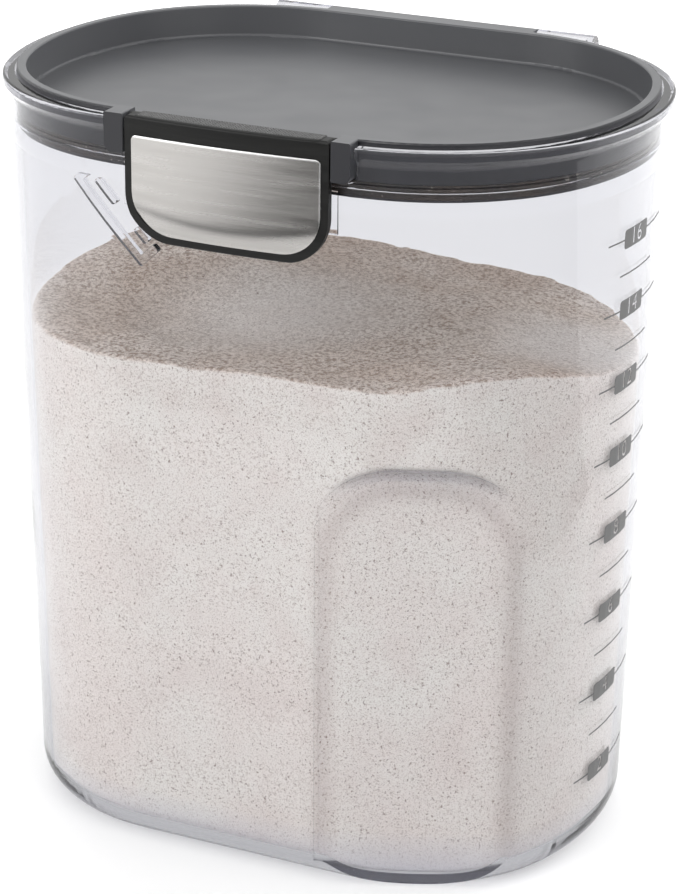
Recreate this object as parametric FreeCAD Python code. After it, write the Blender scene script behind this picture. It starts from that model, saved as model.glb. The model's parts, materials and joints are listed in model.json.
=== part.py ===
"""Clear kitchen keeper with a hinged tray lid, a face seal and a front latch.

Millimetres, +Z up, origin at the centre of the base. The latch is at -Y, the lid hinge at +Y.
Pieces that follow the rounded plan are swept from a section given as (offset from the lip, height).
"""
import math
import os

import FreeCAD
import Part

Vector = FreeCAD.Vector
UP = Vector(0, 0, 1)
ALONG_X = Vector(1, 0, 0)
ALONG_Y = Vector(0, 1, 0)

# Plan outline, measured at the outside of the lip
lip_half_length = 97.0
lip_half_width = 71.0
end_blunt = 8.5
end_half_angle = 19.47
core_inset = 40.0

# Easing of moulded edges, and how far cutting tools run past what they cut
mould_round = 0.3
overcut = 2.6

# Tub
lip_height = 224.0
lip_thickness = 2.4
lip_flare = 2.4
lip_edge_radius = 0.9
lip_overhang = 1.9
base_inset = 6.7
wall = 2.6
mouth_wall = 1.6
floor_thickness = 3.0
base_edge_radius = 10.0
floor_corner_radius = 8.0
ledge_depth = 12.0
ledge_edge = 1.0
ledge_underside = 7.0

# Hand grips, flat panels with an arched top at the measuring end
grip_direction = 68.0
grip_depth = 5.9
grip_side_radius = 14.0
grip_step = 0.1
grip_height = 128.4
grip_arch_margin = 0.5
grip_arch_share = 0.8
grip_arch_draft = 20.0
grip_wall = 2.6

# Leveller sockets, raised ribs inside the front and back walls
socket_rib = 2.4
socket_rib_round = 0.7
socket_height = 2.0
socket_slant = 46.0
socket_length = 31.0
socket_return = 6.5
socket_stop_rib = 1.9
socket_stop_length = 8.5
socket_stop_short = 5.1
socket_stop_gap = 3.2
socket_stop_inset = 4.8
socket_stop_short_inset = 3.8
socket_x = -38.5
socket_z = 193.0

# Lid
lid_rise = 1.5
lid_gap = 0.6
lid_rim_width = 2.8
lid_rim_round = 0.5
tray_step = 1.6
tray_floor = 2.2
tray_draft = 0.1
tray_corner_radius = 0.9
skirt_below_ledge = 2.9
skirt_inset = 3.9
skirt_wall = 1.8
skirt_hook = 0.6
skirt_hook_height = 0.8

# Gasket
gasket_body = 1.4
gasket_fin = 1.0
gasket_groove = 0.3
gasket_bead = 0.8
gasket_wall_gap = 0.6
gasket_ledge_gap = 0.7
gasket_rest_gap = 0.3
gasket_fit = 0.05

# Lid hinge
hinge_behind_lip = 0.2
hinge_below_lip = 2.0
hinge_radius = 3.4
lid_knuckle_half_length = 34.0
tub_knuckle_length = 18.0
knuckle_gap = 0.4
knuckle_floor_gap = 0.7
gusset_height = 15.0
gusset_nose = 1.7
hinge_web_drop = 2.55
hinge_pin_radius = 1.5
hinge_pin_length = 24.0
hinge_pin_grip = 15.5
hinge_swing_gap = 0.4
running_fit = 0.05
pin_chamfer = 0.25

# Latch
latch_half_width = 30.4
latch_side_gap = 0.6
latch_height = 35.2
latch_drop = 0.3
latch_rest_gap = 0.32
latch_thickness = 3.4
latch_bow_radius = 320.0
latch_corner_radius = 14.0
latch_top_corner = 1.2
latch_edge_round = 0.8
latch_bend_height = 7.6
latch_bend_angle = 12.0
latch_bridge = 5.6
latch_barrel_radius = 3.2
latch_pocket_gap = 0.4
latch_pin_radius = 1.25
latch_pin_length = 10.5
latch_pin_grip = 4.0

# Latch dressing
pad_half_width = 27.4
pad_front_margin = 1.1
pad_depth = 5.9
pad_seat = 1.0
pad_proud = 0.2
pad_corner = 0.8
plate_half_width = 28.2
plate_top_margin = 5.2
plate_bottom_margin = 2.5
plate_top_corner = 1.6
plate_bottom_corner = 12.0
plate_thickness = 1.0
plate_proud = 0.2
plate_fit = 0.1

# Lugs on the lid and the notch they drop into
lug_width = 5.6
lug_proud = 0.9
lug_corner = 2.2
lug_gap = 0.6

# Catch on the tub wall under the latch
catch_half_width = 25.0
catch_proud = 1.3
catch_top_below_notch = 2.4
catch_land = 2.9
catch_ramp = 5.5
catch_ramp_angle = 6.0
catch_gap = 0.35
catch_pad_half_width = 32.0
catch_pad_proud = 0.45
catch_pad_height = 12.0

# Heights and offsets that follow from the sizes above
plan_corner_radius = lip_half_width - end_blunt
plan_end_radius = plan_corner_radius + end_blunt / math.sin(math.radians(end_half_angle))
end_centre = lip_half_length - plan_end_radius
half_straight = end_centre + end_blunt / math.tan(math.radians(end_half_angle))

rim_z = lip_height + lid_rise
ledge_z = lip_height - ledge_depth
fin_z = ledge_z + gasket_rest_gap
ring_z = fin_z + gasket_fin + gasket_groove + gasket_bead
tray_z = ring_z + tray_step
skirt_z = ledge_z - skirt_below_ledge

mouth_inset = lip_overhang + mouth_wall
ring_inset = mouth_inset + lid_gap
tray_inset = ring_inset + lid_rim_width
skirt_outer_inset = ring_inset + skirt_inset
gasket_offset = -skirt_outer_inset + gasket_body


def wall_offset(z):
    """Offset of the drafted outer wall from the lip outline at height z."""
    return -base_inset + (base_inset - lip_overhang) * z / lip_height


mouth_offset = wall_offset(ledge_z) - mouth_wall
ledge_offset = gasket_offset + gasket_ledge_gap

front_y = -lip_half_width
hinge_y = lip_half_width + hinge_behind_lip
hinge_z = lip_height - hinge_below_lip
back_notch_z = hinge_z - hinge_radius - knuckle_floor_gap
back_notch_half_width = lid_knuckle_half_length + knuckle_gap
tub_knuckle_end = back_notch_half_width + tub_knuckle_length

lug_bottom_z = ring_z
front_notch_z = lug_bottom_z - lug_gap
catch_top_z = front_notch_z - catch_top_below_notch
catch_land_z = catch_top_z - catch_land
catch_bottom_z = catch_land_z - catch_ramp
catch_root_y = front_y - wall_offset(catch_top_z)
catch_face_y = catch_root_y - catch_proud
catch_pad_face_y = catch_root_y - catch_pad_proud
ramp_slope = math.tan(math.radians(catch_ramp_angle))

latch_top_z = rim_z - latch_drop
latch_bottom_z = latch_top_z - latch_height
latch_back_y = catch_pad_face_y - latch_rest_gap
latch_front_y = latch_back_y - latch_thickness
latch_pin_z = latch_top_z - latch_barrel_radius
latch_pin_y = front_y + tray_inset - latch_barrel_radius
latch_bend_z = latch_bottom_z + latch_bend_height
latch_bridge_z = latch_top_z - latch_bridge
latch_pocket_radius = latch_barrel_radius + latch_pocket_gap
latch_pocket_z = latch_pin_z - latch_pocket_radius
latch_lean = math.tan(math.radians(latch_bend_angle))

lug_inner_x = latch_half_width + latch_side_gap
lug_outer_x = lug_inner_x + lug_width
front_notch_half_width = lug_outer_x + lug_gap
hinge_pin_start = back_notch_half_width + hinge_pin_grip - hinge_pin_length
latch_pin_start = lug_inner_x + latch_pin_grip - latch_pin_length


def rounded_wire(corners, place):
    """Closed wire through (u, v, radius) corners, each rounded by its radius, placed in space."""
    starts = []
    ends = []
    middles = []
    count = len(corners)
    for i, (u, v, radius) in enumerate(corners):
        point = Vector(u, v, 0)
        before = (Vector(*corners[i - 1][:2], 0) - point).normalize()
        after = (Vector(*corners[(i + 1) % count][:2], 0) - point).normalize()
        half = before.getAngle(after) / 2
        reach = radius / math.tan(half)
        starts.append(point + before * reach)
        ends.append(point + after * reach)
        bisector = before + after
        if radius:
            bisector = bisector.normalize() * (radius / math.sin(half) - radius)
        middles.append(point + bisector)
    edges = []
    for i in range(count):
        if corners[i][2]:
            arc = [place(p.x, p.y) for p in (starts[i], middles[i], ends[i])]
            edges.append(Part.Arc(*arc).toShape())
        line_start = place(ends[i].x, ends[i].y)
        line_end = place(starts[(i + 1) % count].x, starts[(i + 1) % count].y)
        if line_start.distanceToPoint(line_end) > 1e-6:
            edges.append(Part.makeLine(line_start, line_end))
    return Part.Wire(edges)


def plan_arcs():
    """Centre, radius, start angle and sweep of the six arcs of the plan, in degrees."""
    a = end_half_angle
    corner_sweep = 90 - a
    x = half_straight
    y = end_blunt
    return (
        (Vector(end_centre, 0, 0), plan_end_radius, -a, 2 * a),
        (Vector(x, y, 0), plan_corner_radius, a, corner_sweep),
        (Vector(-x, y, 0), plan_corner_radius, 90, corner_sweep),
        (Vector(-end_centre, 0, 0), plan_end_radius, 180 - a, 2 * a),
        (Vector(-x, -y, 0), plan_corner_radius, 180 + a, corner_sweep),
        (Vector(x, -y, 0), plan_corner_radius, 270, corner_sweep),
    )


def plan_half_width(x, offset):
    """Half width of the plan at x, moved outwards by an offset."""
    run = max(abs(x) - half_straight, 0)
    return end_blunt + math.sqrt((plan_corner_radius + offset) ** 2 - run ** 2)


def ring(corners):
    """Sweep a section of (offset, height, radius) corners round the whole plan."""
    solids = []
    for centre, radius, start, sweep in plan_arcs():
        heading = Vector(math.cos(math.radians(start)), math.sin(math.radians(start)), 0)
        wire = rounded_wire(corners, lambda o, z: centre + heading * (radius + o) + UP * z)
        solids.append(Part.Face(wire).revolve(centre, UP, sweep))
    for side in (1, -1):
        wire = rounded_wire(
            corners, lambda o, z: Vector(side * half_straight, side * (lip_half_width + o), z)
        )
        solids.append(Part.Face(wire).extrude(Vector(-2 * side * half_straight, 0, 0)))
    return solids[0].multiFuse(solids[1:]).removeSplitter()


def core(low, high):
    """Middle of the plan, inside the swept section, between two heights."""
    edges = []
    for centre, radius, start, sweep in plan_arcs():
        angles = [math.radians(start + sweep * share) for share in (0, 0.5, 1)]
        r = radius - core_inset
        arc = [centre + Vector(r * math.cos(t), r * math.sin(t), low) for t in angles]
        edges.append(Part.Arc(*arc).toShape())
    y = lip_half_width - core_inset
    for side in (1, -1):
        right = Vector(half_straight, side * y, low)
        left = Vector(-half_straight, side * y, low)
        edges.append(Part.makeLine(right, left))
    face = Part.Face(Part.Wire(Part.__sortEdges__(edges)))
    return face.extrude(UP * (high - low))


def across_x(corners, x0, x1):
    """Prism of a (y, z, radius) outline from x0 to x1."""
    wire = rounded_wire(corners, lambda y, z: Vector(x0, y, z))
    return Part.Face(wire).extrude(ALONG_X * (x1 - x0))


def across_y(corners, y0, y1):
    """Prism of an (x, z, radius) outline from y0 to y1."""
    wire = rounded_wire(corners, lambda x, z: Vector(x, y0, z))
    return Part.Face(wire).extrude(ALONG_Y * (y1 - y0))


def block(x0, x1, y0, y1, z0, z1):
    """Plain box between two corners."""
    return Part.makeBox(x1 - x0, y1 - y0, z1 - z0, Vector(x0, y0, z0))


def bar_x(radius, x0, x1, y, z):
    """Round bar along X."""
    return Part.makeCylinder(radius, x1 - x0, Vector(x0, y, z), ALONG_X)


def mirrored(shape, normal):
    """Mirror image of a shape in a plane through the origin."""
    return shape.mirror(Vector(0, 0, 0), normal)


def grip_place(t, n, z):
    """Point of the front grip, along its panel, out from the centre of the plan corner, and up."""
    turn = math.radians(grip_direction)
    normal = Vector(math.cos(turn), -math.sin(turn), 0)
    tangent = Vector(math.sin(turn), math.cos(turn), 0)
    return Vector(half_straight, -end_blunt, z) + tangent * t + normal * n


def grip_tool(depth_in):
    """Arched tool that flattens the wall with eased sides, for the front and the back grip."""
    radius = grip_side_radius - depth_in
    low = -overcut
    high = grip_height + grip_depth + overcut
    # The side arcs end just outside the wall, so that they meet it at a small angle
    sides = []
    for z in (low, high):
        bulge = plan_corner_radius + wall_offset(z)
        centre_n = bulge - grip_depth - grip_side_radius
        reach = bulge - grip_side_radius + grip_step
        centre_t = math.sqrt(reach ** 2 - centre_n ** 2)
        lean = math.atan2(centre_t, centre_n)
        end_t = centre_t + radius * math.sin(lean)
        end_n = centre_n + radius * math.cos(lean)
        mid_t = centre_t + radius * math.sin(lean / 2)
        mid_n = centre_n + radius * math.cos(lean / 2)
        flat_n = centre_n + radius
        out_n = bulge + grip_depth
        points = (
            (-end_t, out_n), (-end_t, end_n), (-mid_t, mid_n), (-centre_t, flat_n),
            (centre_t, flat_n), (mid_t, mid_n), (end_t, end_n), (end_t, out_n),
        )
        p = [grip_place(t, n, z) for t, n in points]
        sides.append(Part.Wire([
            Part.makeLine(p[0], p[1]),
            Part.Arc(p[1], p[2], p[3]).toShape(),
            Part.makeLine(p[3], p[4]),
            Part.Arc(p[4], p[5], p[6]).toShape(),
            Part.makeLine(p[6], p[7]),
            Part.makeLine(p[7], p[0]),
        ]))
    panel = Part.makeLoft(sides, True, True)

    arches = []
    slope = math.tan(math.radians(grip_arch_draft))
    for n in (flat_n - 2 * grip_depth, out_n + overcut):
        rise = (n - flat_n) * slope + depth_in
        half = end_t + grip_arch_margin + max(rise, 0)
        top = grip_height + rise
        arch = half * grip_arch_share
        outline = ((-half, low, 0), (half, low, 0), (half, top, arch), (-half, top, arch))
        arches.append(rounded_wire(outline, lambda t, z: grip_place(t, n, z)))
    tool = panel.common(Part.makeLoft(arches, True, True))
    return tool.fuse(mirrored(tool, ALONG_Y))


def make_tub():
    """Clear tub: drafted wall, flared lip, seal ledge, grips, sockets, catch and hinge brackets."""
    lip_under_z = lip_height - lip_thickness
    flare_z = lip_under_z - lip_flare
    outside = ring((
        (-core_inset, 0, 0),
        (wall_offset(0), 0, base_edge_radius),
        (wall_offset(flare_z), flare_z, lip_flare),
        (0, lip_under_z, lip_edge_radius / 2),
        (0, lip_height, lip_edge_radius),
        (-core_inset, lip_height, 0),
    )).fuse(core(0, lip_height))

    bracket = across_x((
        (lip_half_width - core_inset, hinge_z - gusset_height, 0),
        (lip_half_width + wall_offset(hinge_z), hinge_z - gusset_height, 0),
        (hinge_y + hinge_radius, hinge_z - gusset_nose, 0),
        (hinge_y + hinge_radius, hinge_z, 0),
        (hinge_y, lip_height, 0),
        (lip_half_width - core_inset, lip_height, 0),
    ), back_notch_half_width, tub_knuckle_end)
    bracket = bracket.fuse(bar_x(hinge_radius, back_notch_half_width, tub_knuckle_end, hinge_y, hinge_z))
    outside = outside.multiFuse([bracket, mirrored(bracket, ALONG_X)])

    root_y = catch_root_y + mouth_wall / 2
    catch = across_x((
        (root_y, catch_bottom_z, 0),
        (catch_face_y + catch_ramp * ramp_slope, catch_bottom_z, mould_round),
        (catch_face_y, catch_land_z, 0),
        (catch_face_y, catch_top_z, mould_round),
        (root_y, catch_top_z, 0),
    ), -catch_half_width, catch_half_width)
    catch_pad = across_x((
        (root_y, catch_top_z - catch_pad_height, 0),
        (catch_pad_face_y, catch_top_z - catch_pad_height, mould_round),
        (catch_pad_face_y, catch_top_z, mould_round),
        (root_y, catch_top_z, 0),
    ), -catch_pad_half_width, catch_pad_half_width)
    outside = outside.multiFuse([catch, catch_pad]).cut(grip_tool(0))

    over = lip_height + overcut
    under_z = ledge_z - ledge_underside
    inside = ring((
        (-core_inset, floor_thickness, 0),
        (wall_offset(floor_thickness) - wall, floor_thickness, floor_corner_radius),
        (wall_offset(under_z) - wall, under_z, 0),
        (ledge_offset, ledge_z - ledge_edge, mould_round),
        (ledge_offset, ledge_z, mould_round),
        (mouth_offset, ledge_z, mould_round),
        (-mouth_inset, lip_height, 0),
        (-mouth_inset, over, 0),
        (-core_inset, over, 0),
    )).fuse(core(floor_thickness, over)).cut(grip_tool(grip_wall))

    tub = outside.cut(inside)
    notch_top = over + hinge_radius
    tub = tub.cut(across_y((
        (-front_notch_half_width, front_notch_z, lug_corner),
        (front_notch_half_width, front_notch_z, lug_corner),
        (front_notch_half_width, notch_top, 0),
        (-front_notch_half_width, notch_top, 0),
    ), latch_front_y, front_y + core_inset))
    tub = tub.cut(block(
        -back_notch_half_width, back_notch_half_width,
        lip_half_width - core_inset, hinge_y + 2 * hinge_radius, back_notch_z, notch_top,
    ))
    tub = tub.multiFuse(socket_ribs())
    hole = bar_x(
        hinge_pin_radius, back_notch_half_width, back_notch_half_width + hinge_pin_grip, hinge_y, hinge_z
    )
    return tub.cut(hole.fuse(mirrored(hole, ALONG_X))).removeSplitter()


def socket_ribs():
    """Slanted square bracket of ribs with two stop bars, on the front wall and its twin behind."""
    turn = math.radians(socket_slant)
    along = (math.cos(turn), -math.sin(turn))
    side = (math.sin(turn), math.cos(turn))
    half = socket_length / 2
    rib = socket_rib / 2
    stop_near = rib + socket_stop_gap
    stop_far = stop_near + socket_stop_rib
    stop_start = -half + socket_stop_inset
    short_end = half - socket_stop_short_inset
    bars = (
        (-half, half, -rib, rib),
        (-half, -half + socket_rib, -rib, socket_return),
        (half - socket_rib, half, -rib, socket_return),
        (stop_start, stop_start + socket_stop_length, stop_near, stop_far),
        (short_end - socket_stop_short, short_end, stop_near, stop_far),
    )
    low = socket_z - socket_length
    high = ledge_z - ledge_underside
    inner_low = wall_offset(low) - wall
    inner_high = wall_offset(high) - wall
    zone = ring((
        (inner_low - socket_height, low, 0),
        (inner_low + wall / 2, low, 0),
        (inner_high + wall / 2, high, 0),
        (inner_high - socket_height, high, 0),
    ))
    prisms = []
    for a0, a1, b0, b1 in bars:
        outline = []
        for a, b in ((a0, b0), (a1, b0), (a1, b1), (a0, b1)):
            x = socket_x + along[0] * a + side[0] * b
            z = socket_z + along[1] * a + side[1] * b
            outline.append((x, z, socket_rib_round))
        prisms.append(across_y(outline, front_y, front_y + core_inset))
    front = prisms[0].multiFuse(prisms[1:]).common(zone)
    return [front, mirrored(front, ALONG_Y)]


def make_lid():
    """Tray lid with its rim, skirt, latch lugs and the middle hinge knuckle."""
    lid = ring((
        (-core_inset, tray_z, 0),
        (-tray_inset - tray_draft, tray_z, tray_corner_radius),
        (-tray_inset, rim_z, lid_rim_round),
        (-ring_inset, rim_z, lid_rim_round),
        (-ring_inset, ring_z, mould_round),
        (-skirt_outer_inset, ring_z, 0),
        (-skirt_outer_inset, skirt_z + skirt_hook_height, 0),
        (-skirt_outer_inset + skirt_hook, skirt_z + skirt_hook_height, 0),
        (-skirt_outer_inset + skirt_hook, skirt_z, mould_round),
        (-skirt_outer_inset - skirt_wall, skirt_z, mould_round),
        (-skirt_outer_inset - skirt_wall, tray_z - tray_floor, mould_round),
        (-core_inset, tray_z - tray_floor, 0),
    )).fuse(core(tray_z - tray_floor, tray_z))

    rim_middle = -(ring_inset + tray_inset) / 2
    lug = across_y((
        (lug_inner_x, lug_bottom_z, mould_round),
        (lug_outer_x, lug_bottom_z, lug_corner),
        (lug_outer_x, rim_z, lid_rim_round),
        (lug_inner_x, rim_z, mould_round),
    ), front_y - lug_proud, -plan_half_width(lug_outer_x, rim_middle))
    knuckle = bar_x(hinge_radius, -lid_knuckle_half_length, lid_knuckle_half_length, hinge_y, hinge_z)
    web = block(
        -lid_knuckle_half_length, lid_knuckle_half_length,
        plan_half_width(lid_knuckle_half_length, rim_middle), hinge_y,
        hinge_z - hinge_web_drop, hinge_z + hinge_radius,
    )
    lid = lid.multiFuse([lug, mirrored(lug, ALONG_X), knuckle, web])

    # Pocket that the latch barrel turns in
    pocket_low = latch_pin_z - latch_barrel_radius + latch_pocket_gap
    pocket = bar_x(latch_pocket_radius, -lug_inner_x, lug_inner_x, latch_pin_y, latch_pin_z)
    over = rim_z + overcut
    ahead = block(-lug_inner_x, lug_inner_x, latch_front_y, latch_pin_y, latch_pocket_z, over)
    above = block(
        -lug_inner_x, lug_inner_x, latch_front_y, latch_pin_y + latch_pocket_radius, pocket_low, over
    )
    lid = lid.cut(pocket.multiFuse([ahead, above]))

    # Room for the tub lip as the lid swings, and the bores for both pairs of pins
    lip_corner = math.hypot(hinge_behind_lip + mouth_inset, hinge_below_lip)
    near = lid_knuckle_half_length
    swing = bar_x(lip_corner + hinge_swing_gap, near, lip_half_length, hinge_y, hinge_z)
    bore = bar_x(hinge_pin_radius + running_fit, hinge_pin_start - knuckle_gap, near, hinge_y, hinge_z)
    hole = bar_x(latch_pin_radius, lug_inner_x, lug_inner_x + latch_pin_grip, latch_pin_y, latch_pin_z)
    for tool in (swing, bore, hole):
        lid = lid.cut(tool).cut(mirrored(tool, ALONG_X))
    return lid.removeSplitter()


def make_gasket():
    """Seal ring on the lid skirt, with a top bead and a fin that lands on the tub ledge."""
    inner = -skirt_outer_inset + gasket_fit
    outer = gasket_offset
    fin = mouth_offset - gasket_wall_gap
    foot_z = skirt_z + skirt_hook_height
    root_round = gasket_groove / 3
    return ring((
        (inner, foot_z, 0),
        (outer, foot_z, mould_round),
        (outer, fin_z, mould_round),
        (fin, fin_z, mould_round),
        (fin, fin_z + gasket_fin, mould_round),
        (outer, fin_z + gasket_fin, root_round),
        (outer, ring_z - gasket_bead, root_round),
        (fin, ring_z - gasket_bead, mould_round),
        (fin, ring_z, mould_round),
        (inner, ring_z, 0),
    ))


def bowed(corners):
    """Sweep a (y, z, radius) section round the latch's bow, wider than the latch."""
    centre = Vector(0, latch_front_y + latch_bow_radius, 0)
    sweep = math.degrees(2 * (lug_outer_x + lug_width) / latch_bow_radius)
    face = Part.Face(rounded_wire(corners, lambda y, z: Vector(0, y, z)))
    face.rotate(centre, UP, -sweep / 2)
    return face.revolve(centre, UP, sweep)


def bent_section(proud, thickness, top, bottom):
    """Section that follows the latch face: upright, then bent back below the crease."""
    foot = latch_front_y - proud + (latch_bend_z - bottom) * latch_lean
    return (
        (latch_front_y - proud, top, 0),
        (latch_front_y - proud, latch_bend_z, 0),
        (foot, bottom, 0),
        (foot + thickness, bottom, 0),
        (latch_front_y - proud + thickness, latch_bend_z, 0),
        (latch_front_y - proud + thickness, top, 0),
    )


def plate_outline(grow):
    """Front outline of the steel plate."""
    half = plate_half_width + grow
    top = latch_top_z - plate_top_margin + grow
    bottom = latch_bottom_z + plate_bottom_margin - grow
    return (
        (-half, bottom, plate_bottom_corner),
        (half, bottom, plate_bottom_corner),
        (half, top, plate_top_corner),
        (-half, top, plate_top_corner),
    )


def latch_pad(low, high, grow):
    """Grip pad on the latch top, its front edge following the bow."""
    front = latch_front_y + pad_front_margin - grow
    back = front + pad_depth + 2 * grow
    half = pad_half_width + grow
    ahead = front - pad_depth
    behind = back + pad_depth
    strip = bowed(((front, low, 0), (behind, low, 0), (behind, high, 0), (front, high, 0)))
    outline = ((-half, ahead, 0), (half, ahead, 0), (half, back, pad_corner), (-half, back, pad_corner))
    wire = rounded_wire(outline, lambda x, y: Vector(x, y, low))
    return strip.common(Part.Face(wire).extrude(UP * (high - low)))


def make_latch_frame():
    """Latch moulding: barrel, top bridge and bowed front wall with seats for the pad and plate."""
    outer = bowed((
        (latch_front_y, latch_top_z, latch_edge_round),
        (latch_front_y, latch_bend_z, 0),
        (latch_front_y + latch_bend_height * latch_lean, latch_bottom_z, latch_edge_round),
        (latch_pin_y, latch_bottom_z, 0),
        (latch_pin_y, latch_top_z, 0),
    ))
    outline = across_y((
        (-latch_half_width, latch_bottom_z, latch_corner_radius),
        (latch_half_width, latch_bottom_z, latch_corner_radius),
        (latch_half_width, latch_top_z, latch_top_corner),
        (-latch_half_width, latch_top_z, latch_top_corner),
    ), latch_front_y - latch_thickness, latch_pin_y + latch_barrel_radius)
    body = outer.common(outline)
    body = body.cut(block(
        -lug_outer_x, lug_outer_x, latch_back_y, latch_pin_y + latch_barrel_radius, 0, latch_bridge_z,
    ))
    # The bow leaves a sliver behind the barrel line, so the bridge is squared off there
    body = body.cut(block(
        -lug_outer_x, lug_outer_x, latch_pin_y, latch_pin_y + latch_thickness, 0, latch_top_z + overcut,
    ))
    half = latch_half_width
    body = body.fuse(bar_x(latch_barrel_radius, -half, half, latch_pin_y, latch_pin_z))

    seat_y = catch_face_y - catch_gap
    run_out_z = catch_land_z - (latch_back_y - seat_y) / ramp_slope
    half = catch_half_width + catch_gap
    behind = latch_back_y + latch_thickness
    hollow = across_x((
        (behind, run_out_z, 0),
        (latch_back_y, run_out_z, 0),
        (seat_y, catch_land_z, 0),
        (seat_y, catch_top_z + latch_side_gap, 0),
        (behind, catch_top_z + latch_side_gap, 0),
    ), -half, half)
    seat = bowed(bent_section(plate_proud, plate_thickness, latch_top_z, latch_bottom_z))
    seat = seat.common(across_y(plate_outline(plate_fit), latch_front_y - latch_thickness, latch_back_y))
    body = body.cut(hollow).cut(seat)
    body = body.cut(latch_pad(latch_top_z - pad_seat, latch_top_z + pad_seat, plate_fit))
    bore_start = latch_pin_start - latch_side_gap
    bore = bar_x(latch_pin_radius + running_fit, bore_start, lug_inner_x, latch_pin_y, latch_pin_z)
    return body.cut(bore).cut(mirrored(bore, ALONG_X)).removeSplitter()


def make_latch_plate():
    """Bowed and bent steel plate on the latch face."""
    top = latch_top_z - plate_top_margin
    bottom = latch_bottom_z + plate_bottom_margin
    section = bent_section(plate_proud, plate_thickness, top + overcut, bottom - overcut)
    plate = bowed(section)
    return plate.common(across_y(plate_outline(0), latch_front_y - latch_thickness, latch_back_y))


def make_pin(radius, length, inner_x, y, z, side):
    """Steel stub pin along X with eased ends."""
    x0, x1 = sorted((side * inner_x, side * (inner_x + length)))
    pin = bar_x(radius, x0, x1, y, z)
    return pin.makeChamfer(pin_chamfer, [e for e in pin.Edges if isinstance(e.Curve, Part.Circle)])


nodes = {
    "tub": make_tub(),
    "lid": make_lid(),
    "gasket": make_gasket(),
    "latch_frame": make_latch_frame(),
    "latch_plate": make_latch_plate(),
    "latch_grip_pad": latch_pad(latch_top_z - pad_seat, latch_top_z + pad_proud, 0),
}
for name, side in (("left", -1), ("right", 1)):
    nodes["hinge_pin_" + name] = make_pin(
        hinge_pin_radius, hinge_pin_length, hinge_pin_start, hinge_y, hinge_z, side)
    nodes["latch_pin_" + name] = make_pin(
        latch_pin_radius, latch_pin_length, latch_pin_start, latch_pin_y, latch_pin_z, side)

os.makedirs("parts", exist_ok=True)
for name, shape in nodes.items():
    box = shape.BoundBox
    print(
        f"{name}: solids {len(shape.Solids)}, valid {shape.isValid()}, volume {shape.Volume:.1f}, "
        f"x {box.XMin:.2f} {box.XMax:.2f}, y {box.YMin:.2f} {box.YMax:.2f}, z {box.ZMin:.2f} {box.ZMax:.2f}"
    )
    shape.exportStep(os.path.join("parts", name + ".step"))
print(f"hinge axis y {hinge_y:.3f} z {hinge_z:.3f}, latch axis y {latch_pin_y:.3f} z {latch_pin_z:.3f}")
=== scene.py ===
"""Looks of a clear kitchen keeper with a hinged tray lid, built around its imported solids.

Metres, +Z up, the latch towards -Y and the volume marks at the +X end.
"""
import json
import math

import bpy
from mathutils import Matrix, Vector

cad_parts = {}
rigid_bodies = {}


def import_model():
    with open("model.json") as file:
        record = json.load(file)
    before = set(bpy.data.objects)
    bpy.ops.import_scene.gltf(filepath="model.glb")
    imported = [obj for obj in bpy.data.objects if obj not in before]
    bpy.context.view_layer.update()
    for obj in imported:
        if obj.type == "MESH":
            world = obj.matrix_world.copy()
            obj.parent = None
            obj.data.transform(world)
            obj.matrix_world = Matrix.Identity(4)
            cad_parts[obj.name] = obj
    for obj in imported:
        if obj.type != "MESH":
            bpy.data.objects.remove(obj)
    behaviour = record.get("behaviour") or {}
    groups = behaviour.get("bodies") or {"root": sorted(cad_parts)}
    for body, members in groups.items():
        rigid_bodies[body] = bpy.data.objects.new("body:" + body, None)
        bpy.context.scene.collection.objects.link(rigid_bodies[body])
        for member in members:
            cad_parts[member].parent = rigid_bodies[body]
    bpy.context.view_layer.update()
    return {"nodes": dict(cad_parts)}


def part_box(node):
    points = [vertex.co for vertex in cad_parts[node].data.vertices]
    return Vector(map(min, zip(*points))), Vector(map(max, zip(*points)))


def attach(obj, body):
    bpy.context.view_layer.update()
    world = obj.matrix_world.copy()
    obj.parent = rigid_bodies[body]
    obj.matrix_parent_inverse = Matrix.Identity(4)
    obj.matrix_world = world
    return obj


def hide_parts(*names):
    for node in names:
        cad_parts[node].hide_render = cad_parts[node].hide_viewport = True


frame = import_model()
nodes = frame["nodes"]
scene = bpy.context.scene

# Camera: ahead and to the right of the latch, looking down on the lid through a long lens.
# The picture leans by under a degree, as on a hand-set tripod.
camera_place = Vector((0.3421, -0.7529, 0.4337))
camera_azimuth = math.radians(24.301)
camera_elevation = math.radians(21.428)
camera_lean = math.radians(0.698)
camera_lens = 119.2
camera_near = 0.05
camera_far = 50
level = Vector((math.cos(camera_azimuth), math.sin(camera_azimuth), 0))
back = Vector((
    math.sin(camera_azimuth) * math.cos(camera_elevation),
    -math.cos(camera_azimuth) * math.cos(camera_elevation),
    math.sin(camera_elevation),
))
upright = back.cross(level)
right = level * math.cos(camera_lean) + upright * math.sin(camera_lean)
above = upright * math.cos(camera_lean) - level * math.sin(camera_lean)
camera_turn = Matrix((right, above, back)).transposed()
bpy.ops.object.camera_add(location=camera_place, rotation=camera_turn.to_euler())
camera = bpy.context.object
camera.data.lens = camera_lens
camera.data.clip_start = camera_near
camera.data.clip_end = camera_far
scene.camera = camera

# Tub: one clear copolyester moulding with a polished skin, drafted to leave its mould.
# It keeps the CAD solid's mesh, shaded along the true arcs of its wall so that it bends light evenly.
# Slow ripples bend what shows through it, and its edges run blue-gray.
corner_middle = Vector((0.03304, 0.0085))
end_arc_middle = 0.009
end_arc_turn = math.radians(19.47)
wall_lean_most = 0.05
wall_match = math.cos(math.radians(4.5))
merge_reach = 0.000002


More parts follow.
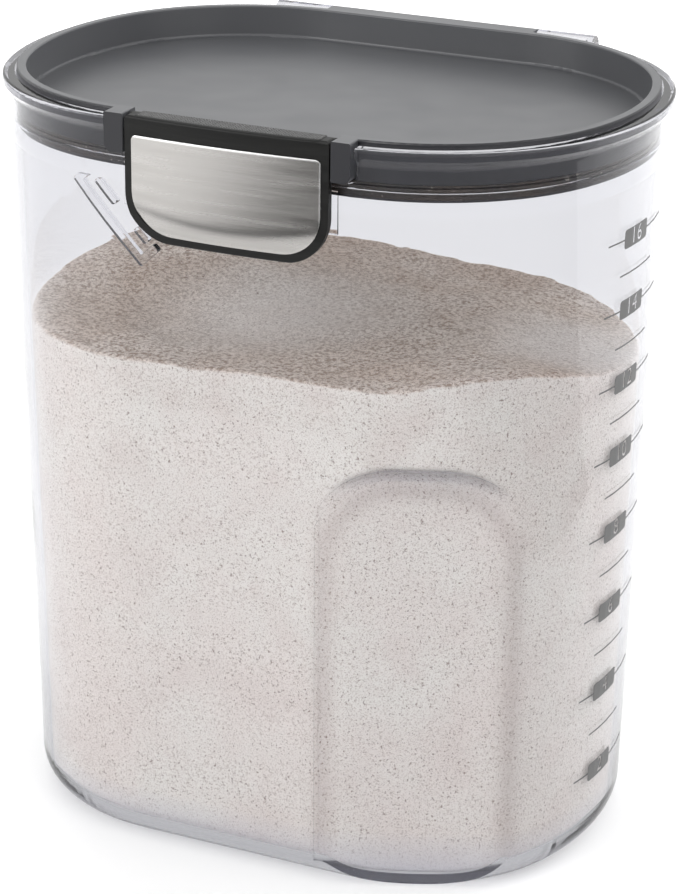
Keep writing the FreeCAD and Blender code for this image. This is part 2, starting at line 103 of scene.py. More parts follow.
def copy_tub(source, name):
    """Free copy of the tub's mesh, selected and merged."""
    piece = source.copy()
    piece.data = source.data.copy()
    piece.name = name
    piece.parent = None
    for key in list(piece.keys()):
        del piece[key]
    scene.collection.objects.link(piece)
    bpy.ops.object.select_all(action="DESELECT")
    piece.select_set(True)
    bpy.context.view_layer.objects.active = piece
    moulded = piece.data.attributes.new("moulded_normal", "FLOAT_VECTOR", "CORNER")
    for cell, corner in zip(moulded.data, piece.data.corner_normals):
        cell.vector = corner.vector
    bpy.ops.object.mode_set(mode="EDIT")
    bpy.ops.mesh.select_all(action="SELECT")
    bpy.ops.mesh.remove_doubles(threshold=merge_reach)
    bpy.ops.object.mode_set(mode="OBJECT")
    return piece


def wall_facing(place):
    """Level outward direction of the wall beside a point, from the arcs of its plan."""
    x = abs(place.x)
    y = abs(place.y)
    turn = math.atan2(y, x - end_arc_middle)
    if x < corner_middle.x:
        turn = math.pi / 2
    elif turn > end_arc_turn:
        turn = math.atan2(y - corner_middle.y, x - corner_middle.x)
    return Vector((math.copysign(math.cos(turn), place.x), math.copysign(math.sin(turn), place.y), 0))


shell = copy_tub(nodes["tub"], "tub_shell")
moulded_normals = shell.data.attributes["moulded_normal"].data
shading = []
for face in shell.data.polygons:
    walls = [wall_facing(shell.data.vertices[index].co) for index in face.vertices]
    upright_face = abs(face.normal.z) < wall_lean_most
    on_wall = upright_face and all(abs(wall.dot(face.normal)) > wall_match for wall in walls)
    for wall, index in zip(walls, face.loop_indices):
        if on_wall:
            wall *= math.copysign(1, wall.dot(face.normal))
            wall.z = face.normal.z
            shading.append(wall.normalized())
        else:
            shading.append(moulded_normals[index].vector.copy())
shell.data.normals_split_custom_set(shading)
shell.data.attributes.remove(shell.data.attributes["moulded_normal"])


def start_material(name):
    """New node material with its Principled shader."""
    material = bpy.data.materials.new(name)
    material.use_nodes = True
    tree = material.node_tree
    return material, tree, tree.nodes["Principled BSDF"]


def add_node(tree, kind, **settings):
    """Node of a kind, with its settings and its unlinked inputs set by name."""
    node = tree.nodes.new(kind)
    for name, value in settings.items():
        label = name.replace("_", " ").title()
        if label in node.inputs:
            node.inputs[label].default_value = value
        else:
            setattr(node, name, value)
    return node


def compute(tree, operation, first, second):
    """Math node on two sockets, or on a socket and a number."""
    node = add_node(tree, "ShaderNodeMath", operation=operation)
    tree.links.new(first, node.inputs[0])
    if isinstance(second, float):
        node.inputs[1].default_value = second
    else:
        tree.links.new(second, node.inputs[1])
    return node.outputs[0]


def ramp(tree, value, low, high, to_low=0.0, to_high=1.0):
    """Map a value's range onto another one."""
    node = tree.nodes.new("ShaderNodeMapRange")
    tree.links.new(value, node.inputs["Value"])
    for label, number in (("From Min", low), ("From Max", high), ("To Min", to_low), ("To Max", to_high)):
        node.inputs[label].default_value = number
    return node.outputs["Result"]


def emboss(tree, shader, height, strength, distance):
    """Raise a shader's surface by a height."""
    relief = add_node(tree, "ShaderNodeBump", strength=strength, distance=distance)
    tree.links.new(height, relief.inputs["Height"])
    tree.links.new(relief.outputs["Normal"], shader.inputs["Normal"])


def blend_shaders(tree, factor, first, second):
    """Mix two shaders by a factor."""
    node = tree.nodes.new("ShaderNodeMixShader")
    tree.links.new(factor, node.inputs["Fac"])
    tree.links.new(first, node.inputs[1])
    tree.links.new(second, node.inputs[2])
    return node.outputs["Shader"]


def start_group(name, inputs, outputs):
    """Empty shader group with named float inputs and outputs."""
    tree = bpy.data.node_groups.new(name, "ShaderNodeTree")
    for label, value in inputs:
        socket = tree.interface.new_socket(label, in_out="INPUT", socket_type="NodeSocketFloat")
        socket.default_value = value
    for label in outputs:
        tree.interface.new_socket(label, in_out="OUTPUT", socket_type="NodeSocketFloat")
    return tree, tree.nodes.new("NodeGroupInput"), tree.nodes.new("NodeGroupOutput")


def place_group(tree, group, **values):
    """Group node in a material, with its own values."""
    node = tree.nodes.new("ShaderNodeGroup")
    node.node_tree = group
    for name, value in values.items():
        node.inputs[name.replace("_", " ").title()].default_value = value
    return node


def dress(piece, material):
    """Give a piece or a CAD node one material."""
    piece.data.materials.clear()
    piece.data.materials.append(material)


# Skin of the clear, satin and rubber mouldings: slow flow ripples and a fine spark-eroded grain
skin, skin_in, skin_out = start_group(
    "moulded_skin",
    (("Ripple Scale", 30), ("Ripple Height", 1), ("Grain Scale", 4000), ("Grain Height", 0.2),
     ("Roughness Low", 0.3), ("Roughness High", 0.4)),
    ("Height", "Roughness"),
)
where = skin.nodes.new("ShaderNodeTexCoord")
ripple = add_node(skin, "ShaderNodeTexNoise", detail=1.0)
grain = add_node(skin, "ShaderNodeTexNoise", detail=2.0)
skin.links.new(where.outputs["Object"], ripple.inputs["Vector"])
skin.links.new(where.outputs["Object"], grain.inputs["Vector"])
skin.links.new(skin_in.outputs["Ripple Scale"], ripple.inputs["Scale"])
skin.links.new(skin_in.outputs["Grain Scale"], grain.inputs["Scale"])
ripple_lift = compute(skin, "MULTIPLY", ripple.outputs["Fac"], skin_in.outputs["Ripple Height"])
grain_lift = compute(skin, "MULTIPLY", grain.outputs["Fac"], skin_in.outputs["Grain Height"])
skin.links.new(compute(skin, "ADD", grain_lift, ripple_lift), skin_out.inputs["Height"])
sheen_range = add_node(skin, "ShaderNodeMapRange", from_min=0.3, from_max=0.7)
skin.links.new(ripple.outputs["Fac"], sheen_range.inputs["Value"])
skin.links.new(skin_in.outputs["Roughness Low"], sheen_range.inputs["To Min"])
skin.links.new(skin_in.outputs["Roughness High"], sheen_range.inputs["To Max"])
skin.links.new(sheen_range.outputs["Result"], skin_out.inputs["Roughness"])

clear_colour = (0.962, 0.964, 0.973, 1)
clear_sheen = (0.4, 0.4, 0.42, 1)
clear_bending = 1.5
film_colour = (0.985, 0.985, 0.988, 1)
edge_colour = (0.50, 0.50, 0.67, 1)
edge_density = 30.0
frost_roughness = 0.55
clear, tree, shader = start_material("clear_plastic")
output = tree.nodes["Material Output"]
shader.inputs["Base Color"].default_value = clear_colour
shader.inputs["IOR"].default_value = clear_bending
shader.inputs["Transmission Weight"].default_value = 1.0
shader.inputs["Specular Tint"].default_value = clear_sheen
flow = place_group(
    tree, skin, ripple_scale=28, ripple_height=1.0, grain_scale=900, grain_height=0.0,
    roughness_low=0.0, roughness_high=0.03,
)
# The underside is frosted, as a base that slides on shelves is
where = tree.nodes.new("ShaderNodeTexCoord")
split = tree.nodes.new("ShaderNodeSeparateXYZ")
tree.links.new(where.outputs["Normal"], split.inputs["Vector"])
frost = ramp(tree, split.outputs["Z"], -0.99, -0.9, frost_roughness, 0.0)
tree.links.new(compute(tree, "MAXIMUM", flow.outputs["Roughness"], frost), shader.inputs["Roughness"])
emboss(tree, shader, flow.outputs["Height"], 0.25, 0.0004)
# Lamps reach the food through the wall, dimmed a little at each face
lamp_film = add_node(tree, "ShaderNodeBsdfTransparent", color=film_colour)
ray = tree.nodes.new("ShaderNodeLightPath")
lit_wall = blend_shaders(
    tree, ray.outputs["Is Shadow Ray"], shader.outputs["BSDF"], lamp_film.outputs["BSDF"],
)
tree.links.new(lit_wall, output.inputs["Surface"])
depth_tint = add_node(tree, "ShaderNodeVolumeAbsorption", color=edge_colour, density=edge_density)
tree.links.new(depth_tint.outputs["Volume"], output.inputs["Volume"])
dress(shell, clear)
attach(shell, "tub")
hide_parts("tub")

# Flour: a loose wholemeal fill that rests on the tub floor, a hair's breadth inside its wall.
# Its shell is the tub's own inner wall, closed by a heap that was shaken almost level.
flour_top = 0.152
flour_cut = 0.175
flour_air = 0.0003
flour_grid = 0.0016
flour_voxel = 0.0013
floor_level = 0.99
floor_height_most = 0.005
flour = copy_tub(shell, "flour_fill")
bpy.ops.object.mode_set(mode="EDIT")
bpy.ops.mesh.select_all(action="SELECT")
bpy.ops.mesh.bisect(plane_co=(0, 0, flour_cut), plane_no=(0, 0, 1), clear_outer=True)
bpy.ops.mesh.select_all(action="DESELECT")
bpy.ops.object.mode_set(mode="OBJECT")
floor_faces = [
    face for face in flour.data.polygons
    if face.normal.z > floor_level and face.center.z < floor_height_most
]
min(floor_faces, key=lambda face: face.center.length).select = True
bpy.ops.object.mode_set(mode="EDIT")
bpy.ops.mesh.select_linked()
bpy.ops.mesh.select_all(action="INVERT")
bpy.ops.mesh.delete(type="FACE")
bpy.ops.mesh.select_all(action="SELECT")
bpy.ops.mesh.flip_normals()
bpy.ops.transform.shrink_fatten(value=-flour_air, use_even_offset=True)
bpy.ops.mesh.select_all(action="DESELECT")
bpy.ops.mesh.select_non_manifold(extend=False)
bpy.ops.mesh.edge_face_add()
bpy.ops.object.mode_set(mode="OBJECT")

# Lie of the heap: where it was pushed up or drawn down, how far across, and by how much
heap_size = (0.2, 0.15)
heap_depth = 0.2
heap_foot = -0.05
heap_lie = (
    (-0.070, 0.040, 0.050, 0.005),
    (-0.092, -0.030, 0.030, 0.002),
    (-0.045, -0.060, 0.030, 0.001),
    (0.010, -0.068, 0.030, 0.003),
    (0.072, -0.050, 0.030, 0.007),
    (0.085, 0.045, 0.040, -0.005),
    (0.010, 0.000, 0.050, 0.003),
    (-0.030, -0.020, 0.028, -0.003),
    (0.045, 0.010, 0.024, 0.002),
)
heap_roughness = (("heap_lumps", 0.03, 0.003), ("heap_clods", 0.008, 0.0012))
bpy.ops.object.select_all(action="DESELECT")
bpy.ops.mesh.primitive_grid_add(
    x_subdivisions=round(heap_size[0] / flour_grid), y_subdivisions=round(heap_size[1] / flour_grid),
    size=1, location=(0, 0, flour_top),
)
heap = bpy.context.object
heap.scale = (heap_size[0], heap_size[1], 1)
bpy.ops.object.transform_apply(location=True, rotation=True, scale=True)
for vertex in heap.data.vertices:
    for x, y, width, rise in heap_lie:
        apart = ((vertex.co.x - x) ** 2 + (vertex.co.y - y) ** 2) / width ** 2
        vertex.co.z += rise * math.exp(-apart)
for name, size, strength in heap_roughness:
    texture = bpy.data.textures.new(name, "CLOUDS")
    texture.noise_scale = size
    texture.noise_depth = 2
    lumps = heap.modifiers.new(name, "DISPLACE")
    lumps.texture = texture
    lumps.texture_coords = "LOCAL"
    lumps.direction = "Z"
    lumps.strength = strength
    bpy.ops.object.modifier_apply(modifier=name)
bpy.ops.object.mode_set(mode="EDIT")
bpy.ops.mesh.select_all(action="SELECT")
bpy.ops.mesh.extrude_region_move(TRANSFORM_OT_translate={"value": (0, 0, -heap_depth)})
bpy.ops.transform.resize(value=(1, 1, 0), center_override=(0, 0, heap_foot))
bpy.ops.mesh.select_all(action="SELECT")
bpy.ops.mesh.normals_make_consistent(inside=False)
bpy.ops.object.mode_set(mode="OBJECT")
bpy.ops.object.select_all(action="DESELECT")
flour.select_set(True)
bpy.context.view_layer.objects.active = flour
level_off = flour.modifiers.new("level_off", "BOOLEAN")
level_off.operation = "INTERSECT"
level_off.object = heap
bpy.ops.object.modifier_apply(modifier="level_off")
bpy.data.objects.remove(heap)
settle = flour.modifiers.new("settle", "REMESH")
settle.mode = "VOXEL"
settle.voxel_size = flour_voxel
bpy.ops.object.modifier_apply(modifier="settle")
bpy.ops.object.shade_smooth()

# Painted shade: the flour is darkened along the eased sides and arch of the front grip, where the wall's
# slopes shade it
grip_middle = Vector((0.03304, -0.0085))
grip_turn = math.radians(68)
grip_along = Vector((math.sin(grip_turn), math.cos(grip_turn)))
grip_out = Vector((math.cos(grip_turn), -math.sin(grip_turn)))
grip_ahead = 0.03
grip_half = 0.0262
grip_top = 0.1245
grip_corner = 0.021
grip_fade = 0.0032
grip_shade = flour.data.attributes.new("grip_shade", "FLOAT", "POINT")
for vertex, cell in zip(flour.data.vertices, grip_shade.data):
    place = vertex.co.xy - grip_middle
    over_side = abs(place.dot(grip_along)) - (grip_half - grip_corner)
    over_top = vertex.co.z - (grip_top - grip_corner)
    corner_reach = math.hypot(max(over_side, 0), max(over_top, 0))
    edge = corner_reach + min(max(over_side, over_top), 0) - grip_corner
    ahead = place.dot(grip_out) > grip_ahead
    cell.value = math.exp(-(edge / grip_fade) ** 2) if ahead else 0


def noise(tree, where, scale, detail, roughness=0.5):
    """Noise over a piece's own coordinates."""
    node = add_node(tree, "ShaderNodeTexNoise", scale=scale, detail=detail, roughness=roughness)
    tree.links.new(where.outputs["Object"], node.inputs["Vector"])
    return node.outputs["Fac"]


def tint(tree, factor, first, second):
    """Mix two colours, or the colours of sockets, by a factor."""
    node = tree.nodes.new("ShaderNodeMix")
    node.data_type = "RGBA"
    tree.links.new(factor, node.inputs[0])
    for place, colour in ((6, first), (7, second)):
        if isinstance(colour, tuple):
            node.inputs[place].default_value = colour
        else:
            tree.links.new(colour, node.inputs[place])
    return node.outputs[2]


# The dust that clings to the wall is pale, and the loose top shows more bran.
# The middle of the heap and its +X end are painted paler, as pools of light with fine powder.
side_pale = (0.895, 0.865, 0.80, 1)
side_rosy = (0.875, 0.81, 0.75, 1)
side_warm = (0.81, 0.735, 0.68, 1)
side_grip_shade = (0.62, 0.55, 0.51, 1)
top_pale = (0.91, 0.83, 0.745, 1)
top_brown = (0.81, 0.70, 0.605, 1)
clump_shade = (0.40, 0.30, 0.23, 1)
powder_and_light_white = (0.92, 0.88, 0.83, 1)
fleck_brown = (0.40, 0.31, 0.26, 1)
bran_brown = (0.26, 0.185, 0.145, 1)
foot_refraction_gray = (0.66, 0.655, 0.69, 1)
foot_low = 0.004
foot_high = 0.017
powder_and_light_core = 0.012
powder_and_light_places = (
    ((-0.015, -0.010, 0.155), 0.048),
    ((0.074, 0.004, 0.155), 0.036),
)
meal, tree, shader = start_material("wholemeal_flour")
where = tree.nodes.new("ShaderNodeTexCoord")
blotch = noise(tree, where, 26.0, 3.0, 0.6)
warmth = noise(tree, where, 60.0, 2.0)
clumps = noise(tree, where, 800.0, 3.0, 0.7)
meal_grain = noise(tree, where, 2300.0, 2.0, 0.7)
bran = noise(tree, where, 1300.0, 2.0, 0.6)
grip_shade_mask = add_node(tree, "ShaderNodeAttribute", attribute_name="grip_shade")
facing = tree.nodes.new("ShaderNodeNewGeometry")
lie = tree.nodes.new("ShaderNodeSeparateXYZ")
rise_of = tree.nodes.new("ShaderNodeSeparateXYZ")
tree.links.new(facing.outputs["Normal"], lie.inputs["Vector"])
tree.links.new(where.outputs["Object"], rise_of.inputs["Vector"])
side_colour = tint(tree, ramp(tree, blotch, 0.36, 0.64), side_pale, side_rosy)
side_colour = tint(tree, ramp(tree, warmth, 0.5, 0.75, 0.0, 0.6), side_colour, side_warm)
# Painted shade along the grip's eased sides and arch
grip_shade_amount = ramp(tree, grip_shade_mask.outputs["Fac"], 0.0, 1.0, 0.0, 0.55)
side_colour = tint(tree, grip_shade_amount, side_colour, side_grip_shade)
top_colour = tint(tree, ramp(tree, blotch, 0.40, 0.60), top_pale, top_brown)
# Painted shade among the clumps of the loose top
top_colour = tint(tree, ramp(tree, clumps, 0.46, 0.60, 0.0, 0.9), top_colour, clump_shade)
# Painted pools of light, with fine powder, on the middle and +X end of the heap
for middle, reach in powder_and_light_places:
    powder_and_light_distance = add_node(tree, "ShaderNodeVectorMath", operation="DISTANCE")
    powder_and_light_distance.inputs[1].default_value = middle
    tree.links.new(where.outputs["Object"], powder_and_light_distance.inputs[0])
    powder_and_light = ramp(tree, powder_and_light_distance.outputs["Value"], powder_and_light_core, reach, 0.65, 0.0)
    top_colour = tint(tree, powder_and_light, top_colour, powder_and_light_white)
meal_colour = tint(tree, ramp(tree, lie.outputs["Z"], 0.45, 0.8), side_colour, top_colour)
meal_colour = tint(tree, ramp(tree, meal_grain, 0.50, 0.70, 0.0, 0.7), meal_colour, fleck_brown)
meal_colour = tint(tree, ramp(tree, bran, 0.60, 0.70, 0.0, 0.8), meal_colour, bran_brown)
# Painted refraction: near the bottom the flour is tinted a pale lavender gray, standing in for the white
# floor that the tub's rounded foot bends into view
foot_refraction = ramp(tree, rise_of.outputs["Z"], foot_low, foot_high, 0.8, 0.0)
meal_colour = tint(tree, foot_refraction, meal_colour, foot_refraction_gray)
tree.links.new(meal_colour, shader.inputs["Base Color"])
shader.inputs["Roughness"].default_value = 0.95
shader.inputs["Specular IOR Level"].default_value = 0.1
emboss(tree, shader, bran, 0.7, 0.0005)
dress(flour, meal)
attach(flour, "tub")

# Volume marks: gray ink pad-printed on the outside of the +X end, one badge for every second measure.
# The numerals are left open in the badges, and short lines stand half way between them.
ink_film = 0.00004
ink_gap = 0.00002
ink_merge = 0.000001
end_arc_radius = 0.0813
end_arc_growth = 0.0048 / 0.224
badge_size = (0.015, 0.0056)
badge_corner = 0.001
badge_turn = -4.0
numeral_size = 0.0068
numeral_weight = 0.00012
numeral_spacing = 1.15
line_width = 0.00045
leader_turn = (-14.8, 11.5)
tick_turn = (-10.0, 5.0)
badge_heights = (0.0258, 0.0522, 0.0776, 0.1025, 0.1261, 0.1481, 0.1702, 0.1909)
mark_start = 0.12
mark_slice = 0.0012
mark_slices = 16
mark_parts = []


def around_end(turn, height):
    """Distance across the +X end of the tub for a turn in degrees from its middle."""
    return (end_arc_radius + end_arc_growth * height) * math.sin(math.radians(turn))


def lay_mark(mark, across, height):
    """Stand a flat mark up beside the +X end, slice it finely, and press it onto the wall."""
    bpy.ops.object.mode_set(mode="EDIT")
    for step in range(-mark_slices, mark_slices + 1):
        bpy.ops.mesh.select_all(action="SELECT")
        bpy.ops.mesh.bisect(plane_co=(step * mark_slice, 0, 0), plane_no=(1, 0, 0))
    bpy.ops.object.mode_set(mode="OBJECT")
    mark.rotation_euler = (math.pi / 2, 0, math.pi / 2)
    mark.location = (mark_start, across, height)
    bpy.ops.object.transform_apply(location=True, rotation=True, scale=True)
    press = mark.modifiers.new("press", "SHRINKWRAP")
    press.target = shell
    press.wrap_method = "PROJECT"
    press.use_project_x = True
    press.use_positive_direction = False
    press.use_negative_direction = True
    bpy.ops.object.modifier_apply(modifier="press")
    mark_parts.append(mark)


def print_badge(number, height):
    """Rounded badge with its number left open."""
    bpy.ops.object.select_all(action="DESELECT")
    bpy.ops.object.text_add()
    numeral = bpy.context.object
    numeral.data.body = str(number)
    numeral.data.size = numeral_size
    numeral.data.align_x = "CENTER"
    numeral.data.align_y = "CENTER"
    numeral.data.offset = numeral_weight
    numeral.data.space_character = numeral_spacing
    bpy.ops.object.convert(target="CURVE")
    bpy.ops.object.select_all(action="DESELECT")
    bpy.ops.mesh.primitive_plane_add(size=1)
    badge = bpy.context.object
    badge.scale = (badge_size[0], badge_size[1], 1)
    bpy.ops.object.transform_apply(location=True, rotation=True, scale=True)
    bpy.ops.object.mode_set(mode="EDIT")
    bpy.ops.mesh.select_all(action="SELECT")
    bpy.ops.mesh.bevel(offset=badge_corner, segments=5, affect="VERTICES")
    bpy.ops.mesh.select_all(action="SELECT")
    bpy.ops.mesh.delete(type="ONLY_FACE")
    bpy.ops.object.mode_set(mode="OBJECT")
    bpy.ops.object.convert(target="CURVE")
    badge.data.dimensions = "2D"
    numeral.select_set(True)
    bpy.context.view_layer.objects.active = badge
    bpy.ops.object.join()
    badge.data.dimensions = "2D"
    badge.data.fill_mode = "BOTH"
    bpy.ops.object.convert(target="MESH")
    lay_mark(bpy.context.object, around_end(badge_turn, height), height)


def print_line(start, end, height):
    """Thin printed line between two distances across the end."""
    bpy.ops.object.select_all(action="DESELECT")
    bpy.ops.mesh.primitive_plane_add(size=1)
    line = bpy.context.object
    line.scale = (end - start, line_width, 1)
    bpy.ops.object.transform_apply(location=True, rotation=True, scale=True)
    lay_mark(line, (start + end) / 2, height)


for index, height in enumerate(badge_heights):
    print_badge(2 * index + 2, height)
    badge_middle = around_end(badge_turn, height)
    print_line(around_end(leader_turn[0], height), badge_middle - badge_size[0] / 2, height)
    print_line(badge_middle + badge_size[0] / 2, around_end(leader_turn[1], height), height)
for below, over in zip(badge_heights, badge_heights[1:]):
    halfway = (below + over) / 2
    print_line(around_end(tick_turn[0], halfway), around_end(tick_turn[1], halfway), halfway)
bpy.ops.object.select_all(action="DESELECT")
for mark in mark_parts:
    mark.select_set(True)
marks = mark_parts[0]
bpy.context.view_layer.objects.active = marks
bpy.ops.object.join()
marks.name = "volume_marks"
bpy.ops.object.mode_set(mode="EDIT")
bpy.ops.mesh.select_all(action="SELECT")
bpy.ops.mesh.remove_doubles(threshold=ink_merge)
bpy.ops.transform.translate(value=(ink_gap, 0, 0))
bpy.ops.object.mode_set(mode="OBJECT")
film = marks.modifiers.new("film", "SOLIDIFY")
film.thickness = ink_film
film.offset = 1
bpy.ops.object.modifier_apply(modifier="film")

ink_dark = (0.075, 0.075, 0.075, 1)
ink_worn = (0.105, 0.105, 0.105, 1)
ink, tree, shader = start_material("gray_ink")
where = tree.nodes.new("ShaderNodeTexCoord")
ink_wear = noise(tree, where, 900.0, 3.0, 0.65)
tree.links.new(tint(tree, ramp(tree, ink_wear, 0.3, 0.7), ink_dark, ink_worn), shader.inputs["Base Color"])
tree.links.new(ramp(tree, ink_wear, 0.3, 0.7, 0.4, 0.6), shader.inputs["Roughness"])
dress(marks, ink)
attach(marks, "tub")

# Lid: one gray moulding with a satin tray, its rim, the lugs of the latch and the middle hinge knuckle.
# It stays the CAD solid, with a fine grain from the mould.
# Its outward-facing sides are painted near-black as shade, and look darker than the tray.
lid_gray = (0.078, 0.080, 0.086, 1)
lid_pale = (0.087, 0.089, 0.095, 1)
lid_side_shade = (0.010, 0.010, 0.0135, 1)
satin, tree, shader = start_material("lid_plastic")
touch = place_group(
    tree, skin, ripple_scale=60, ripple_height=0.1, grain_scale=2600, grain_height=0.5,
    roughness_low=0.28, roughness_high=0.34,
)
where = tree.nodes.new("ShaderNodeTexCoord")
cloud = noise(tree, where, 18.0, 2.0)
flat_place = add_node(tree, "ShaderNodeVectorMath", operation="MULTIPLY")
flat_place.inputs[1].default_value = (1, 1, 0)
outward = add_node(tree, "ShaderNodeVectorMath", operation="DOT_PRODUCT")
tree.links.new(where.outputs["Object"], flat_place.inputs[0])
tree.links.new(flat_place.outputs["Vector"], outward.inputs[0])
tree.links.new(where.outputs["Normal"], outward.inputs[1])
lid_colour = tint(tree, ramp(tree, cloud, 0.3, 0.7), lid_gray, lid_pale)
# Painted shade on the outward-facing sides
lid_side_shade_mask = ramp(tree, outward.outputs["Value"], 0.02, 0.05, 0.0, 0.92)
tree.links.new(tint(tree, lid_side_shade_mask, lid_colour, lid_side_shade), shader.inputs["Base Color"])
tree.links.new(touch.outputs["Roughness"], shader.inputs["Roughness"])
emboss(tree, shader, touch.outputs["Height"], 0.15, 0.0002)
dress(nodes["lid"], satin)

# Gasket: a dark silicone ring pressed over the lid skirt.
# It stays the CAD solid. Flour clings to it in pale specks, and brown patches on it are a painted
# reflection of the flour.
seal_black = (0.013, 0.012, 0.0115, 1)
seal_flour_reflection = (0.04, 0.028, 0.021, 1)
seal_speck = (0.62, 0.57, 0.52, 1)
seal, tree, shader = start_material("seal_silicone")
where = tree.nodes.new("ShaderNodeTexCoord")
dust = noise(tree, where, 700.0, 4.0, 0.7)
reflection_patches = noise(tree, where, 40.0, 2.0)
# Painted reflection of the flour in brown patches
seal_colour = tint(tree, ramp(tree, reflection_patches, 0.4, 0.65), seal_black, seal_flour_reflection)
seal_colour = tint(tree, ramp(tree, dust, 0.64, 0.70, 0.0, 0.75), seal_colour, seal_speck)
tree.links.new(seal_colour, shader.inputs["Base Color"])
tree.links.new(ramp(tree, reflection_patches, 0.3, 0.7, 0.38, 0.55), shader.inputs["Roughness"])
dress(nodes["gasket"], seal)

# Pins of both hinges: drawn steel stubs with eased ends, two at the lid hinge and two at the latch.
# Each is turned once and pressed into its knuckle.
pin_play = 0.00002
pin_ease = 0.0003
pin_sides = 48
pin_dark = (0.50, 0.50, 0.49, 1)
pin_bright = (0.60, 0.60, 0.59, 1)
pin_bodies = (
    ("hinge_pin_left", "tub"),
    ("hinge_pin_right", "tub"),
    ("latch_pin_left", "lid"),
    ("latch_pin_right", "lid"),
)
steel, tree, shader = start_material("pin_steel")
where = tree.nodes.new("ShaderNodeTexCoord")
stretch = add_node(tree, "ShaderNodeMapping", scale=(60, 2600, 2600))
drawing = add_node(tree, "ShaderNodeTexNoise", scale=1.0, detail=3.0)
tree.links.new(where.outputs["Object"], stretch.inputs["Vector"])
tree.links.new(stretch.outputs["Vector"], drawing.inputs["Vector"])
pin_colour = tint(tree, ramp(tree, drawing.outputs["Fac"], 0.3, 0.7), pin_dark, pin_bright)
tree.links.new(pin_colour, shader.inputs["Base Color"])
tree.links.new(ramp(tree, drawing.outputs["Fac"], 0.3, 0.7, 0.25, 0.4), shader.inputs["Roughness"])
shader.inputs["Metallic"].default_value = 1.0
for name, body in pin_bodies:
    pin_low, pin_high = (Vector(corner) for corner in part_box(name))
    bpy.ops.object.select_all(action="DESELECT")
    bpy.ops.mesh.primitive_cylinder_add(
        vertices=pin_sides, radius=(pin_high.z - pin_low.z) / 2 - pin_play, depth=pin_high.x - pin_low.x,
        location=(pin_low + pin_high) / 2, rotation=(0, math.pi / 2, 0),
    )
    pin = bpy.context.object
    pin.name = name + "_drawn"
    bpy.ops.object.transform_apply(location=True, rotation=True, scale=True)
    ease = pin.modifiers.new("ease", "BEVEL")
    ease.width = pin_ease
    ease.segments = 3
    ease.limit_method = "ANGLE"
    ease.angle_limit = math.radians(60)
    bpy.ops.object.modifier_apply(modifier="ease")
    bpy.ops.object.shade_smooth_by_angle(angle=math.radians(35))
    dress(pin, steel)
    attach(pin, body)
    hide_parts(name)

# Latch frame: a satin black moulding that turns on the latch pins and snaps over the tub's catch.
# It stays the CAD solid, with fine drawn lines along its front.
lines, lines_in, lines_out = start_group(
    "brushed_lines", (("Along", 30), ("Across", 3000)), ("Height", "Streak"),
)
where = lines.nodes.new("ShaderNodeTexCoord")
pair = lines.nodes.new("ShaderNodeCombineXYZ")
scaled = add_node(lines, "ShaderNodeVectorMath", operation="MULTIPLY")
hairline = add_node(lines, "ShaderNodeTexNoise", scale=1.0, detail=2.0, roughness=0.6)
band = add_node(lines, "ShaderNodeTexNoise", scale=0.2, detail=3.0, roughness=0.6)
lines.links.new(lines_in.outputs["Along"], pair.inputs["X"])
lines.links.new(lines_in.outputs["Across"], pair.inputs["Y"])
lines.links.new(lines_in.outputs["Across"], pair.inputs["Z"])
lines.links.new(where.outputs["Object"], scaled.inputs[0])
lines.links.new(pair.outputs["Vector"], scaled.inputs[1])
lines.links.new(scaled.outputs["Vector"], hairline.inputs["Vector"])
lines.links.new(scaled.outputs["Vector"], band.inputs["Vector"])
lines.links.new(hairline.outputs["Fac"], lines_out.inputs["Height"])
lines.links.new(band.outputs["Fac"], lines_out.inputs["Streak"])

frame_black = (0.007, 0.007, 0.0067, 1)
frame_pale = (0.011, 0.011, 0.0105, 1)
black, tree, shader = start_material("latch_plastic")
drawn = place_group(tree, lines, along=40, across=2200)
black_colour = tint(tree, ramp(tree, drawn.outputs["Streak"], 0.35, 0.65), frame_black, frame_pale)
tree.links.new(black_colour, shader.inputs["Base Color"])
tree.links.new(ramp(tree, drawn.outputs["Streak"], 0.3, 0.7, 0.36, 0.5), shader.inputs["Roughness"])
shader.inputs["Specular IOR Level"].default_value = 0.2
emboss(tree, shader, drawn.outputs["Height"], 0.35, 0.0001)
dress(nodes["latch_frame"], black)

# Grip pad: a strip of black rubber set in the latch top, with staggered oval dimples for the thumb.
# It is moulded flat and follows the bow of the latch along its front.
bow_radius = 0.32
dimple_columns = 72
dimple_rows = 5
dimple_margin = 2
dimple_depth = 0.0006
dimple_wall_share = 0.12
dimple_slope_share = 0.08
dimple_shade_full_depth = 0.0002
dimple_shade_start_depth = 0.00005


def bow(x):
    """How far the latch falls back from its middle at a distance along it."""
    return bow_radius - math.sqrt(bow_radius ** 2 - x ** 2)


pad_low, pad_high = (Vector(corner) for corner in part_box("latch_grip_pad"))
bpy.ops.object.select_all(action="DESELECT")
bpy.ops.mesh.primitive_grid_add(
    x_subdivisions=dimple_columns, y_subdivisions=dimple_rows, size=1,
    location=((pad_low.x + pad_high.x) / 2, (pad_low.y + pad_high.y) / 2, pad_high.z),
)
pad = bpy.context.object
pad.name = "latch_grip_strip"
pad.scale = (pad_high.x - pad_low.x, pad_high.y - pad_low.y, 1)
bpy.ops.object.transform_apply(location=True, rotation=True, scale=True)
cell_x = (pad_high.x - pad_low.x) / dimple_columns
cell_y = (pad_high.y - pad_low.y) / dimple_rows
for face in pad.data.polygons:
    column = round((face.center.x - pad_low.x) / cell_x - 0.5)
    row = round((face.center.y - pad_low.y) / cell_y - 0.5)
    inside = dimple_margin <= column < dimple_columns - dimple_margin
    face.select = inside and (column + row) % 2 == 0
bpy.ops.object.mode_set(mode="EDIT")
bpy.ops.mesh.select_mode(type="FACE")
bpy.ops.mesh.inset(thickness=cell_x * dimple_wall_share, use_individual=True)
